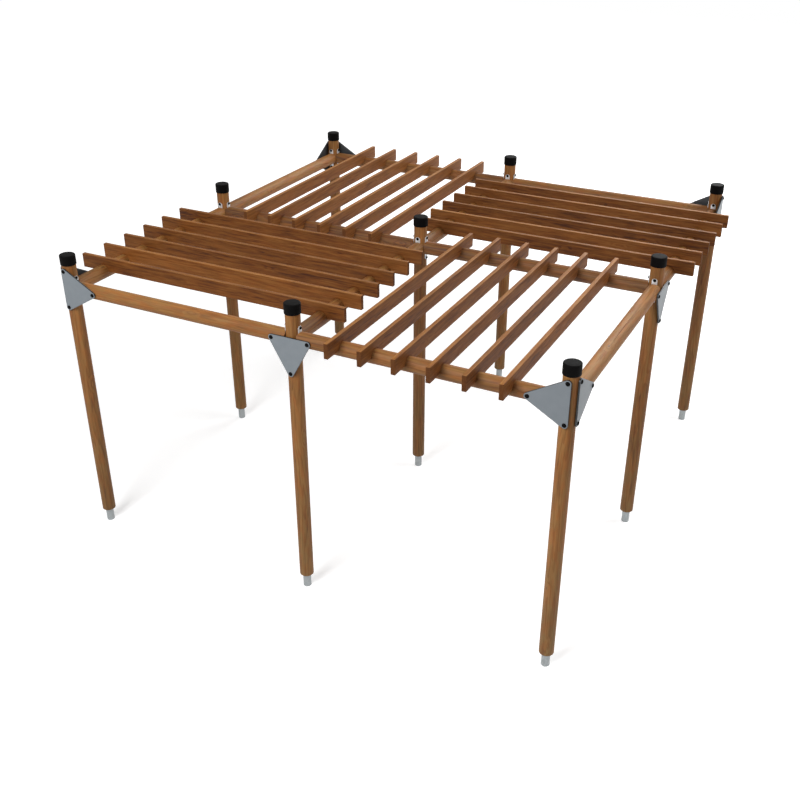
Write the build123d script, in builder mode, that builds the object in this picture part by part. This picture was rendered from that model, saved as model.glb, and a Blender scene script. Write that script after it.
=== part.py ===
"""Wooden pergola: nine round posts, twelve round beams and four bays of notched rafters.

Millimetres, +Z up. The origin is on the ground, on the axis of the centre post.
X runs along the front row from left to right and Y from the front row to the back.
"""

import os

from build123d import *

# ---------------------------------------------------------------- driving dimensions
POST_PITCH = 2200.0          # post axis to post axis, both ways
POST_DIAMETER = 120.0
POST_EDGE = 3.0              # eased edge at a post's foot

FOOT_DIAMETER = 70.0         # galvanised tube that stands on the ground
FOOT_WALL = 4.0
FOOT_SHOWING = 130.0         # ground to the underside of the post
FOOT_SOCKET_DEPTH = 160.0    # how far the tube reaches up into the post
FOOT_BASE = 6.0              # disc that closes the tube at the ground

CAP_WALL = 6.0
CAP_HEIGHT = 85.0
CAP_EDGE = 6.0               # sloped edge round the cap's top
CAP_GAP = 20.3               # from the plates on a post up to the rim of its cap

BEAM_DIAMETER = 120.0
BEAM_HEIGHT = 2380.0         # ground to a beam's axis
MITRE_GAP = 3.0              # between two beams that meet at a post

BRACKET_THICKNESS = 4.0      # curved steel plate between a post and a beam's end
BRACKET_WIDTH = 52.0
BRACKET_HEIGHT = 248.0       # it stands out above and below the beam
BRACKET_CORNER = 10.0        # cut corners of the plate
BLADE_THICKNESS = 6.0        # upright web that carries the beam's end
BLADE_HEIGHT = 84.0
BLADE_LENGTH = 100.0

RAFTER_COUNT = 6             # in each bay
RAFTER_SPACING = 275.0
RAFTER_THICKNESS = 36.0
RAFTER_HEIGHT = 124.0
RAFTER_OVERHANG = 220.0      # past the beam's axis
RAFTER_NOTCH_DEPTH = 56.0    # how far a rafter is let down over a beam
RAFTER_EDGE = 4.0            # eased long edges
RAFTER_END_EDGE = 2.0        # eased edges round the sawn ends

GUSSET_THICKNESS = 13.0
GUSSET_BOLT_SPAN = 320.0     # between the two bolts on the long side
GUSSET_BOLT_REACH = 280.0    # from that side's line to the third bolt
GUSSET_CORNER = 26.0         # rounded corner round each bolt
GUSSET_HOLE = 13.0

SEAT = 0.3                   # clearance between a piece and what carries it

# ---------------------------------------------------------------- what follows from them
POST_RADIUS = POST_DIAMETER / 2
BEAM_RADIUS = BEAM_DIAMETER / 2
BRACKET_INNER_RADIUS = POST_RADIUS + SEAT
BRACKET_OUTER_RADIUS = BRACKET_INNER_RADIUS + BRACKET_THICKNESS
BEAM_END_RADIUS = BRACKET_OUTER_RADIUS + SEAT
BLADE_TIP = BRACKET_OUTER_RADIUS + BLADE_LENGTH
CAP_INNER_RADIUS = POST_RADIUS + SEAT
CAP_OUTER_RADIUS = CAP_INNER_RADIUS + CAP_WALL
PLATE_RISE = max(GUSSET_BOLT_SPAN / 2 + GUSSET_CORNER, BRACKET_HEIGHT / 2)
CAP_RIM = BEAM_HEIGHT + PLATE_RISE + CAP_GAP
POST_TOP = CAP_RIM + CAP_HEIGHT - CAP_WALL - SEAT    # the sawn top, under its cap
RAFTER_BOTTOM = BEAM_HEIGHT + BEAM_RADIUS - RAFTER_NOTCH_DEPTH
RAFTER_FIRST = (POST_PITCH - (RAFTER_COUNT - 1) * RAFTER_SPACING) / 2
RAFTER_LENGTH = POST_PITCH + 2 * RAFTER_OVERHANG

os.makedirs("parts", exist_ok=True)


def finish(piece, name):
    """Label a finished piece and write its file."""
    piece.part.label = name
    export_step(piece.part, f"parts/{name}.step")


def place(shape, *places):
    """Copies of one shape, each at its own place."""
    with BuildPart() as placed:
        with Locations(*places):
            add(shape)
    return placed


def turned(x, y, angle, z=0.0):
    """A place at (x, y, z), turned about the vertical."""
    return Location((x, y, z), (0, 0, angle))


# Rows run from front to back and columns from left to right.
ROWS = {"front": -POST_PITCH, "middle": 0.0, "back": POST_PITCH}
COLUMNS = {"left": -POST_PITCH, "centre": 0.0, "right": POST_PITCH}
POST_PLACES = {f"{row}_{column}": (x, y) for row, y in ROWS.items() for column, x in COLUMNS.items()}

# ---------------------------------------------------------------- posts
# A round post with an eased lower edge and a blind socket underneath for its steel foot.
for place_name, (x, y) in POST_PLACES.items():
    with BuildPart() as post:
        with BuildSketch(Plane.XY.offset(FOOT_SHOWING)):
            with Locations((x, y)):
                Circle(POST_RADIUS)
        extrude(amount=POST_TOP - FOOT_SHOWING)
        chamfer(post.edges().group_by(Axis.Z)[0], POST_EDGE)
        with BuildSketch(Plane.XY.offset(FOOT_SHOWING)):
            with Locations((x, y)):
                Circle(FOOT_DIAMETER / 2 + SEAT)
        extrude(amount=FOOT_SOCKET_DEPTH + SEAT, mode=Mode.SUBTRACT)
    finish(post, f"post_{place_name}")

# ---------------------------------------------------------------- feet
# A galvanised tube, closed by a disc where it stands on the ground.
with BuildPart() as foot:
    with BuildSketch():
        Circle(FOOT_DIAMETER / 2)
    extrude(amount=FOOT_SHOWING + FOOT_SOCKET_DEPTH)
    with BuildSketch(Plane.XY.offset(FOOT_BASE)):
        Circle(FOOT_DIAMETER / 2 - FOOT_WALL)
    extrude(amount=FOOT_SHOWING + FOOT_SOCKET_DEPTH - FOOT_BASE, mode=Mode.SUBTRACT)
finish(place(foot.part, *[turned(x, y, 0) for x, y in POST_PLACES.values()]), "post_feet")

# ---------------------------------------------------------------- caps
# A plastic cup turned over the post's sawn top.
with BuildPart() as cap:
    with BuildSketch(Plane.XY.offset(CAP_RIM)):
        Circle(CAP_OUTER_RADIUS)
    extrude(amount=CAP_HEIGHT)
    chamfer(cap.edges().group_by(Axis.Z)[-1], CAP_EDGE)
    with BuildSketch(Plane.XY.offset(CAP_RIM)):
        Circle(CAP_INNER_RADIUS)
    extrude(amount=CAP_HEIGHT - CAP_WALL, mode=Mode.SUBTRACT)
finish(place(cap.part, *[turned(x, y, 0) for x, y in POST_PLACES.values()]), "post_caps")

# ---------------------------------------------------------------- beams
# A round beam between two posts, drawn along X from the post at the origin. Each end is
# hollowed to sit round its post's bracket, mitred so that two beams can meet at one post,
# and slotted for the bracket's blade.
with BuildPart() as beam:
    with BuildSketch(Plane.YZ):
        with Locations((0, BEAM_HEIGHT)):
            Circle(BEAM_RADIUS)
    extrude(amount=POST_PITCH)
    mitre_start = MITRE_GAP / 2 * 2**0.5
    with BuildSketch(Plane.XY.offset(BEAM_HEIGHT - BEAM_RADIUS)):
        with BuildLine():
            Polyline(
                (mitre_start, 0),
                (mitre_start + BEAM_DIAMETER, BEAM_DIAMETER),
                (POST_PITCH - mitre_start - BEAM_DIAMETER, BEAM_DIAMETER),
                (POST_PITCH - mitre_start, 0),
                (POST_PITCH - mitre_start - BEAM_DIAMETER, -BEAM_DIAMETER),
                (mitre_start + BEAM_DIAMETER, -BEAM_DIAMETER),
                close=True,
            )
        make_face()
    extrude(amount=BEAM_DIAMETER, mode=Mode.INTERSECT)
    with BuildSketch(Plane.XY.offset(BEAM_HEIGHT - BEAM_RADIUS)):
        with Locations((0, 0), (POST_PITCH, 0)):
            Circle(BEAM_END_RADIUS)
    extrude(amount=BEAM_DIAMETER, mode=Mode.SUBTRACT)
    for end, inwards in ((0, 1), (POST_PITCH, -1)):
        with BuildSketch(Plane.YZ.offset(end)):
            with Locations((0, BEAM_HEIGHT)):
                Rectangle(BLADE_THICKNESS + 2 * SEAT, BLADE_HEIGHT + 2 * SEAT)
        extrude(amount=inwards * (BLADE_TIP + SEAT), mode=Mode.SUBTRACT)

for row, y in ROWS.items():
    finish(place(beam.part, turned(-POST_PITCH, y, 0)), f"beam_{row}_row_left")
    finish(place(beam.part, turned(0, y, 0)), f"beam_{row}_row_right")
for column, x in COLUMNS.items():
    finish(place(beam.part, turned(x, -POST_PITCH, 90)), f"beam_{column}_column_front")
    finish(place(beam.part, turned(x, 0, 90)), f"beam_{column}_column_back")

# ---------------------------------------------------------------- brackets
# A curved steel plate that hugs the post and stands out above and below the beam, with a
# blade that enters the slot in the beam's end. Drawn on the +X side of a post.
with BuildPart() as bracket:
    with BuildSketch(Plane.XY.offset(BEAM_HEIGHT - BRACKET_HEIGHT / 2)):
        Circle(BRACKET_OUTER_RADIUS)
    extrude(amount=BRACKET_HEIGHT)
    with BuildSketch(Plane.YZ):
        with Locations((0, BEAM_HEIGHT)):
            plate_face = Rectangle(BRACKET_WIDTH, BRACKET_HEIGHT)
        chamfer(plate_face.vertices(), BRACKET_CORNER)
    extrude(amount=BRACKET_OUTER_RADIUS, mode=Mode.INTERSECT)
    with BuildSketch(Plane.YZ):
        with Locations((0, BEAM_HEIGHT)):
            Rectangle(BLADE_THICKNESS, BLADE_HEIGHT)
    extrude(amount=BLADE_TIP)
    with BuildSketch(Plane.XY.offset(BEAM_HEIGHT - BRACKET_HEIGHT / 2)):
        Circle(BRACKET_INNER_RADIUS)
    extrude(amount=BRACKET_HEIGHT, mode=Mode.SUBTRACT)

# One bracket for each beam that meets the post, so none on the outer sides.
BEAM_DIRECTIONS = {0: (1, 0), 90: (0, 1), 180: (-1, 0), 270: (0, -1)}
for place_name, (x, y) in POST_PLACES.items():
    places = [
        turned(x, y, angle)
        for angle, (dx, dy) in BEAM_DIRECTIONS.items()
        if abs(x + dx * POST_PITCH) <= POST_PITCH and abs(y + dy * POST_PITCH) <= POST_PITCH
    ]
    finish(place(bracket.part, *places), f"brackets_{place_name}")

# ---------------------------------------------------------------- rafters
# A plank on edge, drawn along X, notched to a half-round over each of its two beams.
with BuildPart() as rafter:
    with BuildSketch(Plane.YZ.offset(-RAFTER_OVERHANG)):
        with Locations((0, RAFTER_BOTTOM + RAFTER_HEIGHT / 2)):
            rafter_face = Rectangle(RAFTER_THICKNESS, RAFTER_HEIGHT)
        chamfer(rafter_face.vertices(), RAFTER_EDGE)
    extrude(amount=RAFTER_LENGTH)
    chamfer(rafter.faces().filter_by(Axis.X).edges(), RAFTER_END_EDGE)
    with BuildSketch(Plane.XZ.offset(-RAFTER_THICKNESS)):
        with Locations((0, BEAM_HEIGHT), (POST_PITCH, BEAM_HEIGHT)):
            Circle(BEAM_RADIUS + SEAT)
    extrude(amount=2 * RAFTER_THICKNESS, mode=Mode.SUBTRACT)

RAFTER_OFFSETS = [RAFTER_FIRST + index * RAFTER_SPACING for index in range(RAFTER_COUNT)]
along_x = [Location((0, offset, 0)) for offset in RAFTER_OFFSETS]
along_y = [turned(POST_PITCH - offset, 0, 90) for offset in RAFTER_OFFSETS]
# The rafters' direction changes from each bay to the next.
BAYS = {
    "front_left": (-POST_PITCH, -POST_PITCH, along_x),
    "front_right": (0.0, -POST_PITCH, along_y),
    "back_left": (-POST_PITCH, 0.0, along_y),
    "back_right": (0.0, 0.0, along_x),
}
for bay_name, (x, y, places) in BAYS.items():
    bay_corner = Location((x, y, 0))
    finish(place(rafter.part, *[bay_corner * spot for spot in places]), f"rafters_{bay_name}")

# ---------------------------------------------------------------- gusset plates
# A flat three-cornered plate, rounded round its bolts, drawn upright in the XZ plane. Two
# bolts lie on the Z axis and the third on +X.
BOLT_POINTS = [
    (0, GUSSET_BOLT_SPAN / 2),
    (0, -GUSSET_BOLT_SPAN / 2),
    (GUSSET_BOLT_REACH, 0),
]
with BuildPart() as gusset:
    with BuildSketch(Plane.XZ) as plate_outline:
        with Locations(*BOLT_POINTS):
            Circle(GUSSET_CORNER)
        make_hull()
    extrude(amount=GUSSET_THICKNESS / 2, both=True)
    with BuildSketch(Plane.XZ):
        with Locations(*BOLT_POINTS):
            Circle(GUSSET_HOLE / 2)
    extrude(amount=GUSSET_THICKNESS / 2, both=True, mode=Mode.SUBTRACT)

# Each plate lies flat against the outer side of its post and beams.
FACE_OFFSET = max(POST_RADIUS, BEAM_RADIUS) + SEAT + GUSSET_THICKNESS / 2
OUTER_FACE = POST_PITCH + FACE_OFFSET
POINT_DOWN = Location((0, 0, 0), (0, 90, 0))

# At a corner post one plate follows each of its two beams.
for row_name, y_side in {"front": -1, "back": 1}.items():
    for column_name, x_side in {"left": -1, "right": 1}.items():
        along_row = turned(x_side * POST_PITCH, y_side * OUTER_FACE, 90 + 90 * x_side, BEAM_HEIGHT)
        along_column = turned(x_side * OUTER_FACE, y_side * POST_PITCH, -90 * y_side, BEAM_HEIGHT)
        finish(place(gusset.part, along_row, along_column), f"gussets_{row_name}_{column_name}")

# At a post halfway along a side one plate spans the post and both beams, point down.
HALFWAY_FACES = {
    "front_centre": turned(0, -OUTER_FACE, 0, BEAM_HEIGHT),
    "back_centre": turned(0, OUTER_FACE, 0, BEAM_HEIGHT),
    "middle_left": turned(-OUTER_FACE, 0, 90, BEAM_HEIGHT),
    "middle_right": turned(OUTER_FACE, 0, 90, BEAM_HEIGHT),
}
for face_name, face_place in HALFWAY_FACES.items():
    finish(place(gusset.part, face_place * POINT_DOWN), f"gusset_{face_name}")
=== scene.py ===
# %% [markdown]
# # A round-timber pergola, dressed in Blender
# The pergola is nine turned posts on steel feet, twelve turned beams, and four bays of planks set on edge.
# The frame comes from the construction file. This lesson gives every piece of it the skin, grain and
# fastenings that the real one shows. All lengths are in metres, and Z is up.

# %% Load the frame
import math

import bmesh
import bpy
import mathutils
import numpy as np
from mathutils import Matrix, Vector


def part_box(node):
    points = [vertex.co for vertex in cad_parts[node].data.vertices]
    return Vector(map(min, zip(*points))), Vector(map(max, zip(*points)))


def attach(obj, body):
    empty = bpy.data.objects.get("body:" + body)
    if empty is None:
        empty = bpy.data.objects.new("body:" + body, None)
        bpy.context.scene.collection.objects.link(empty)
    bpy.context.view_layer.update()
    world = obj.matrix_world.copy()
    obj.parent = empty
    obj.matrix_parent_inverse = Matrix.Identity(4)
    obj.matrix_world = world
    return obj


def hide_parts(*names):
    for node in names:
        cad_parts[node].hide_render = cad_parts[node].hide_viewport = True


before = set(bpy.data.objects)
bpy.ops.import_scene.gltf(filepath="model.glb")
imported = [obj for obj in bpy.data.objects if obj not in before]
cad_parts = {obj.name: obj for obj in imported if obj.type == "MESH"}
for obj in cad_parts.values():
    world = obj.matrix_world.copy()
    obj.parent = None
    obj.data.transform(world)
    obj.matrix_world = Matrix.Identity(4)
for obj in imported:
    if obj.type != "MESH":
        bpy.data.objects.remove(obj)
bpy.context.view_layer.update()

# %% [markdown]
# ## Measures
# The frame already knows every size, so the script asks it instead of repeating numbers: the box of one
# post gives its radius and height, and two posts give the bay. Pieces that fit into each other leave the
# same small room, the seat.

# %% Measures read from the frame
ROWS = ("front", "middle", "back")
COLUMNS = ("left", "centre", "right")
UP = (0, 0, 1)
EAST = (1, 0, 0)
NORTH = (0, 1, 0)
WEST = (-1, 0, 0)
SEAT = 0.0003

post_low, post_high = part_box("post_middle_centre")
right_low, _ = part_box("post_middle_right")
beam_low, beam_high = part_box("beam_middle_row_right")
plank_low, plank_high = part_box("rafters_front_left")
cap_low, cap_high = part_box("post_caps")
feet_low, feet_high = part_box("post_feet")
gusset_low, gusset_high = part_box("gusset_front_centre")
_, saddle_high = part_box("brackets_middle_centre")

POST_RADIUS = (post_high[0] - post_low[0]) / 2
POST_FOOT = post_low[2]
POST_TOP = post_high[2]
BAY = right_low[0] - post_low[0]
BEAM_RADIUS = (beam_high[2] - beam_low[2]) / 2
BEAM_AXIS = (beam_high[2] + beam_low[2]) / 2
PLANK_BOTTOM = plank_low[2]
PLANK_TOP = plank_high[2]
PLANK_LENGTH = plank_high[0] - plank_low[0]
PLANK_OVERHANG = (PLANK_LENGTH - BAY) / 2
CAP_RADIUS = (cap_high[0] - cap_low[0]) / 2 - BAY
CAP_RIM = cap_low[2]
CAP_TOP = cap_high[2]
FOOT_RADIUS = (feet_high[0] - feet_low[0]) / 2 - BAY
FOOT_TOP = feet_high[2]
PLATE_FACE = -BAY - gusset_low[1]
PLATE_BACK = -BAY - gusset_high[1]
BLADE_REACH = saddle_high[0]

LINES = (-BAY, 0.0, BAY)
POST_PLACES = {(row, column): (x, y) for row, y in zip(ROWS, LINES) for column, x in zip(COLUMNS, LINES)}
print(f"bay {BAY:.3f}; radii: posts {POST_RADIUS:.3f}, beams {BEAM_RADIUS:.3f}, caps {CAP_RADIUS:.3f}")
print(f"heights: beams {BEAM_AXIS:.3f}, planks {PLANK_TOP:.3f}, posts {POST_TOP:.3f}")

# %% [markdown]
# ## Small tools for shapes
# Every new shape is a sheet of points with rows and columns, worked out as whole arrays. A sheet may close
# round on itself, and several may share their borders. Welding the points that coincide then gives one
# closed skin. Counting the edges that do not have exactly two faces shows whether it has a hole.

# %% Sheets of points
WELD = 1e-6
CREASE = math.radians(35)


def sheet(points, around=False, slot=0, **marks):
    """A grid of rows by columns of points, its four-cornered cells, and a value per point for each mark.
    Rows that climb and columns that turn anticlockwise, seen from the far end, put the faces outwards."""
    rows, columns = points.shape[:2]
    index = np.arange(rows * columns).reshape(rows, columns)
    if around:
        index = np.hstack([index, index[:, :1]])
    corners = [index[:-1, :-1], index[:-1, 1:], index[1:, 1:], index[1:, :-1]]
    faces = np.stack(corners, axis=-1).reshape(-1, 4)
    full = {name: np.broadcast_to(v, (rows, columns) + np.shape(v)[2:]) for name, v in marks.items()}
    return {"points": points, "faces": faces, "slot": slot, "marks": full}


def placed(part, origin, axis, side, **extra):
    """The same sheet laid along an axis: the first number goes along it, the second to its side, and the
    third at right angles to both. Each extra is added to the mark of its name, or becomes a new mark."""
    frame_axes = np.array([axis, side, np.cross(axis, side)], float)
    marks = dict(part["marks"])
    for name, value in extra.items():
        marks[name] = marks.get(name, np.zeros(part["points"].shape[:2])) + value
    return {**part, "points": np.array(origin) + part["points"] @ frame_axes, "marks": marks}


def make_mesh(name, parts):
    """Joins sheets into one mesh, welds the points that coincide, and says how many edges stay open."""
    points = np.concatenate([part["points"].reshape(-1, 3) for part in parts])
    sizes = [part["points"].size // 3 for part in parts]
    starts = np.cumsum([0] + sizes[:-1])
    faces = np.concatenate([part["faces"] + start for part, start in zip(parts, starts)])
    slots = np.concatenate([np.full(len(part["faces"]), part["slot"]) for part in parts])
    mesh = bpy.data.meshes.new(name)
    mesh.from_pydata(points, [], faces)
    mesh.polygons.foreach_set("material_index", slots.astype(np.int32))
    for mark in parts[0]["marks"]:
        values = [part["marks"][mark] for part in parts]
        kind, field = ("FLOAT_VECTOR", "vector") if values[0].ndim == 3 else ("FLOAT", "value")
        flat = np.concatenate([value.ravel() for value in values])
        attribute = mesh.attributes.new(mark, kind, "POINT")
        attribute.data.foreach_set(field, flat.astype(np.float32))
    shell = bmesh.new()
    shell.from_mesh(mesh)
    bmesh.ops.remove_doubles(shell, verts=shell.verts, dist=WELD)
    open_edges = sum(not edge.is_manifold for edge in shell.edges)
    volume = shell.calc_volume(signed=True)
    shell.to_mesh(mesh)
    shell.free()
    mesh.shade_smooth()
    mesh.set_sharp_from_angle(angle=CREASE)
    return mesh, open_edges, volume


def make_piece(name, parts, materials, nodes=()):
    """Makes the piece's object at the origin, rides it on the frame and hides the nodes it stands for."""
    mesh, open_edges, volume = make_mesh(name, parts)
    piece = bpy.data.objects.new(name, mesh)
    bpy.context.scene.collection.objects.link(piece)
    for material in materials:
        mesh.materials.append(material)
    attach(piece, "root")
    if nodes:
        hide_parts(*nodes)
    print(f"{name}: {len(mesh.polygons)} faces, {open_edges} open edges, {volume * 1000:.2f} litres")


# %% Turned shapes
def turned(profile, steps):
    """A profile carried round an axis: a point is (height, radius * cos(angle), radius * sin(angle)).
    The profile is a list of (height, radius) that runs from the low pole to the high one."""
    profile = np.array(profile, float)
    angle = np.linspace(0, 2 * np.pi, steps, endpoint=False)
    height = np.broadcast_to(profile[:, :1], (len(profile), steps))
    radius = profile[:, 1:]
    points = np.stack([height, radius * np.cos(angle), radius * np.sin(angle)], axis=-1)
    return sheet(points, around=True)


def arc(centre, radius, angle):
    """Points of an arc: centre + radius * (cos(angle), sin(angle))."""
    return np.array(centre) + radius * np.stack([np.cos(angle), np.sin(angle)], axis=-1)


def corner_arc(centre, radius, start, end, steps):
    """An arc in a profile, (height, radius), between two angles in degrees from the radial direction:
    centre + radius * (sin(angle), cos(angle))."""
    angle = np.radians(np.linspace(start, end, steps))
    return [(centre[0] + radius * math.sin(a), centre[1] + radius * math.cos(a)) for a in angle]


def eased(edge, degrees):
    """How far in from the end, and how far inside the full size, each step of a rounded edge lies:
    (edge * (1 - cos(angle)), edge * (1 - sin(angle)))."""
    return [(edge * (1 - math.cos(a)), edge * (1 - math.sin(a))) for a in np.radians(degrees)]


def capped(points):
    """The rows with one more at each end, drawn together in the middle of the first and of the last row."""
    ends = [np.broadcast_to(points[row].mean(axis=0), points[:1].shape) for row in (0, -1)]
    return np.concatenate([ends[0], points, ends[1]])


print("shape tools ready")

# %% [markdown]
# ## Small tools for materials
# A shader is a sum of simple steps. One class lets Python's own + - * / write the Math nodes, and one
# method adds any other node from its type, its settings and what its sockets get.

# %% Shader tools
class Value:
    """A number that varies over a surface. Each operator on it adds one Math node."""

    def __init__(self, shader, socket):
        self.shader, self.socket = shader, socket

    def math(self, operation, *others, clamp=False):
        settings = {"operation": operation, "use_clamp": clamp}
        return self.shader.node("Math", settings, dict(enumerate([self, *others])))

    def __add__(self, other):
        return self.math("ADD", other)

    def __sub__(self, other):
        return self.math("SUBTRACT", other)

    def __rsub__(self, other):
        return (self * -1.0) + other

    def __mul__(self, other):
        return self.math("MULTIPLY", other)

    def __truediv__(self, other):
        return self.math("DIVIDE", other)

    def __rtruediv__(self, other):
        return self.math("POWER", -1.0) * other

    __radd__ = __add__
    __rmul__ = __mul__


class Shader:
    """One material, or the world, and the nodes that make it."""

    def __init__(self, name, world=None):
        self.material = world or bpy.data.materials.new(name)
        self.material.use_nodes = True
        self.tree = self.material.node_tree
        self.tree.nodes.clear()

    def node(self, kind, settings=None, sockets=None, output=0):
        """Adds a node, sets its settings, gives its sockets values or links, and returns one output."""
        node = self.tree.nodes.new("ShaderNode" + kind)
        for name, value in (settings or {}).items():
            if name == "stops":
                ramp = node.color_ramp
                while len(ramp.elements) < len(value):
                    ramp.elements.new(1.0)
                for stop, (position, level) in zip(ramp.elements, value):
                    stop.position, stop.color = position, (level, level, level, 1)
            else:
                setattr(node, name, value)
        for name, value in (sockets or {}).items():
            if isinstance(value, Value):
                self.tree.links.new(value.socket, node.inputs[name])
            else:
                node.inputs[name].default_value = value
        return None if output is None else Value(self, node.outputs[output])

    def vector(self, operation, *terms, output=0):
        """A Vector Math node."""
        return self.node("VectorMath", {"operation": operation}, dict(enumerate(terms)), output)

    def part_along(self, vector, direction):
        """How much of a vector goes in a direction: their dot product."""
        return self.vector("DOT_PRODUCT", vector, direction, output="Value")

    def place(self):
        """Where a point lies on the object, in metres."""
        return self.node("TexCoord", None, None, "Object")

    def mark(self, name, output="Fac"):
        """A mark that the mesh carries on its points, as a number or as a Vector."""
        return self.node("Attribute", {"attribute_name": name}, None, output)

    def noise(self, point, scale, detail=2.0, roughness=0.5, output=0):
        """Noise over a point stretched by one scale, or by one for each direction. Its Color output is
        three noises at once."""
        stretched = self.vector("MULTIPLY", point, np.broadcast_to(scale, 3))
        sockets = {"Vector": stretched, "Scale": 1.0, "Detail": detail, "Roughness": roughness}
        return self.node("TexNoise", None, sockets, output)

    def ramp(self, value, stops):
        """Maps a value through grey stops, each (place, level)."""
        return self.node("ValToRGB", {"stops": stops}, {0: value})

    def between(self, value, low, high):
        """0 below low, 1 above high, and a smooth step between them; low may be the larger."""
        settings = {"interpolation_type": "SMOOTHSTEP"}
        return self.node("MapRange", settings, {"Value": value, "From Min": low, "From Max": high})

    def mix(self, factor, first, second, how="MIX"):
        """A Mix node for colours, which it takes in sockets 6 and 7 and gives in output 2."""
        settings = {"data_type": "RGBA", "blend_type": how}
        return self.node("Mix", settings, {0: factor, 6: first, 7: second}, 2)

    def finish(self, sockets, height=None, bump_depth=0.0005):
        """Ends the tree in a Principled BSDF, with a Bump node where a height is given."""
        if height is not None:
            bump = {"Height": height, "Distance": bump_depth, "Strength": 1.0}
            sockets["Normal"] = self.node("Bump", None, bump)
        surface = self.node("BsdfPrincipled", None, sockets)
        self.node("OutputMaterial", None, {"Surface": surface}, None)
        print(f"{self.material.name}: {len(self.tree.nodes)} nodes")
        return self.material


def colour(red, green, blue):
    """A colour given in 0 to 255 screen values, turned into the linear light values that shaders use."""
    screen = np.array([red, green, blue]) / 255
    linear = np.where(screen <= 0.04045, screen / 12.92, ((screen + 0.055) / 1.055) ** 2.4)
    return (*linear, 1.0)


print("shader tools ready")

# %% [markdown]
# ## Stained softwood
# The posts, beams and planks are pine under a brown stain. Wood is solid, so its pattern is best worked out
# in the tree's own space: how far along the trunk a point lies, and where across it. Each piece of timber
# carries that place as a mark on its points, called grain, with the pith of its tree at zero. Rings are then
# the distance from the pith, fibres are noise pulled long, knots are cones that point at the pith, and the
# end grain comes out by itself.

# %% A point's place in its tree
ACROSS = (0.0, 1.0, 1.0)
PITH_WAVES = (0.9, 5.0, 5.0)
PITH_DRIFT = (0.0, 0.030, 0.030)
KNOTS_ALONG = (2.6, 0.0, 0.0)
KNOTS_ROUND = (0.0, 0.42, 0.42)
KNOT_EDGE = (0.062, 0.040)
SWIRL_EDGE = (0.30, 0.03)


def tree_place(shader):
    """A point's place in its tree, and the same place measured from the pith. The pith of a tree wanders,
    so slow noise pushes the point sideways before it is measured."""
    grain = shader.mark("grain", "Vector")
    drift = shader.noise(grain, PITH_WAVES, detail=1.0, output="Color")
    drift = shader.vector("MULTIPLY", shader.vector("SUBTRACT", drift, (0.5, 0.5, 0.5)), PITH_DRIFT)
    return grain, shader.vector("ADD", grain, drift)


def knots(shader, grain):
    """Cells of a Voronoi pattern laid out along the trunk and by direction from the pith. A knot is the
    middle of a cell, and the rings swirl in a wider part of it."""
    heading = shader.vector("NORMALIZE", shader.vector("MULTIPLY", grain, ACROSS))
    heading = shader.vector("MULTIPLY", heading, KNOTS_ROUND)
    place = shader.vector("MULTIPLY_ADD", grain, KNOTS_ALONG, heading)
    gap = shader.node("TexVoronoi", None, {"Vector": place, "Scale": 1.0})
    return shader.between(gap, *KNOT_EDGE), shader.between(gap, *SWIRL_EDGE)


print(f"knots about {1 / KNOTS_ALONG[0]:.2f} apart along a trunk")

# %% [markdown]
# ## Stain, and painted light
# The stain goes from light to dark with the rings, the fibres and slow blotches. A second mark, tone, says
# how dark a whole piece comes out, partly from the stain it took and partly as painted shade and light for
# where it stands, and a third, end, where it was sawn across. What faces up is painted paler, a painted
# sheen of light from above, on the planks far more than on the logs. The posts are painted greyer and bluer
# towards the ground, as painted light thrown up by the floor. Both are tints that multiply the colour, so
# the grain stays visible.

# %% Stain and painted light
KNOT_BROWN = colour(49, 24, 13)
END_BROWN = colour(80, 47, 25)
# Painted light: the first tint and its edges give what faces up a pale painted sheen. The second tint and
# its heights give the posts near the ground the floor's greyer, bluer painted light.
TOP_SHEEN_TINT = (1.68, 1.98, 2.45, 1.0)
TOP_SHEEN_EDGE = (0.60, 0.98)
FLOOR_LIGHT_TINT = (0.88, 1.02, 1.24, 1.0)
FLOOR_LIGHT_EDGE = (1.6, 0.1)
ONE_YEAR = [(0.0, 0.0), (0.45, 0.15), (0.80, 1.0), (0.93, 0.85), (1.0, 0.0)]
UNEVEN_YEARS = 1.6
SWIRL_PUSH = 0.006

# How much the rings, fibres and blotches darken, and where one shade goes over into the next.
RING_PULL, FIBRE_PULL, BLOTCH_PULL = 0.30, 0.45, 0.8
MIDDLE_EDGE, DARK_EDGE, PATCH_EDGE = (0.0, 0.55), (0.45, 1.0), (0.40, 0.64)

# Cells of noise in a metre, along the trunk and both ways across it.
UNEVEN = (0.0, 55.0, 55.0)
FIBRES = (14.0, 520.0, 520.0)
STREAKS = (4.5, 60.0, 60.0)
BLOTCHES = (1.5, 9.0, 9.0)
PATCHES = (7.0, 26.0, 26.0)


def rings(shader, bent, swirl, ring_width):
    """A ramp over the fraction of the distance from the pith divided by the width of a ring. The early
    wood of a year is pale, the late wood dark, and the step back is sharp."""
    across = shader.vector("MULTIPLY", bent, ACROSS)
    reach = shader.vector("LENGTH", across, output="Value")
    uneven = shader.noise(across, UNEVEN, detail=1.0)
    years = (reach + swirl * SWIRL_PUSH) / ring_width + uneven * UNEVEN_YEARS
    return shader.ramp(years.math("FRACT"), ONE_YEAR)


def painted_sheen_and_floor_light(shader, shade, painted_top_sheen):
    """Painted light: what faces up gets a pale tint, a painted sheen, and what is near the ground a greyer,
    bluer tint, painted light thrown up by the floor.
    """
    facing = shader.node("TexCoord", None, None, "Normal")
    top = shader.between(shader.part_along(facing, UP), *TOP_SHEEN_EDGE)
    shade = shader.mix(top * painted_top_sheen, shade, TOP_SHEEN_TINT, "MULTIPLY")
    low = shader.between(shader.part_along(shader.place(), UP), *FLOOR_LIGHT_EDGE)
    return shader.mix(low, shade, FLOOR_LIGHT_TINT, "MULTIPLY")


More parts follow.
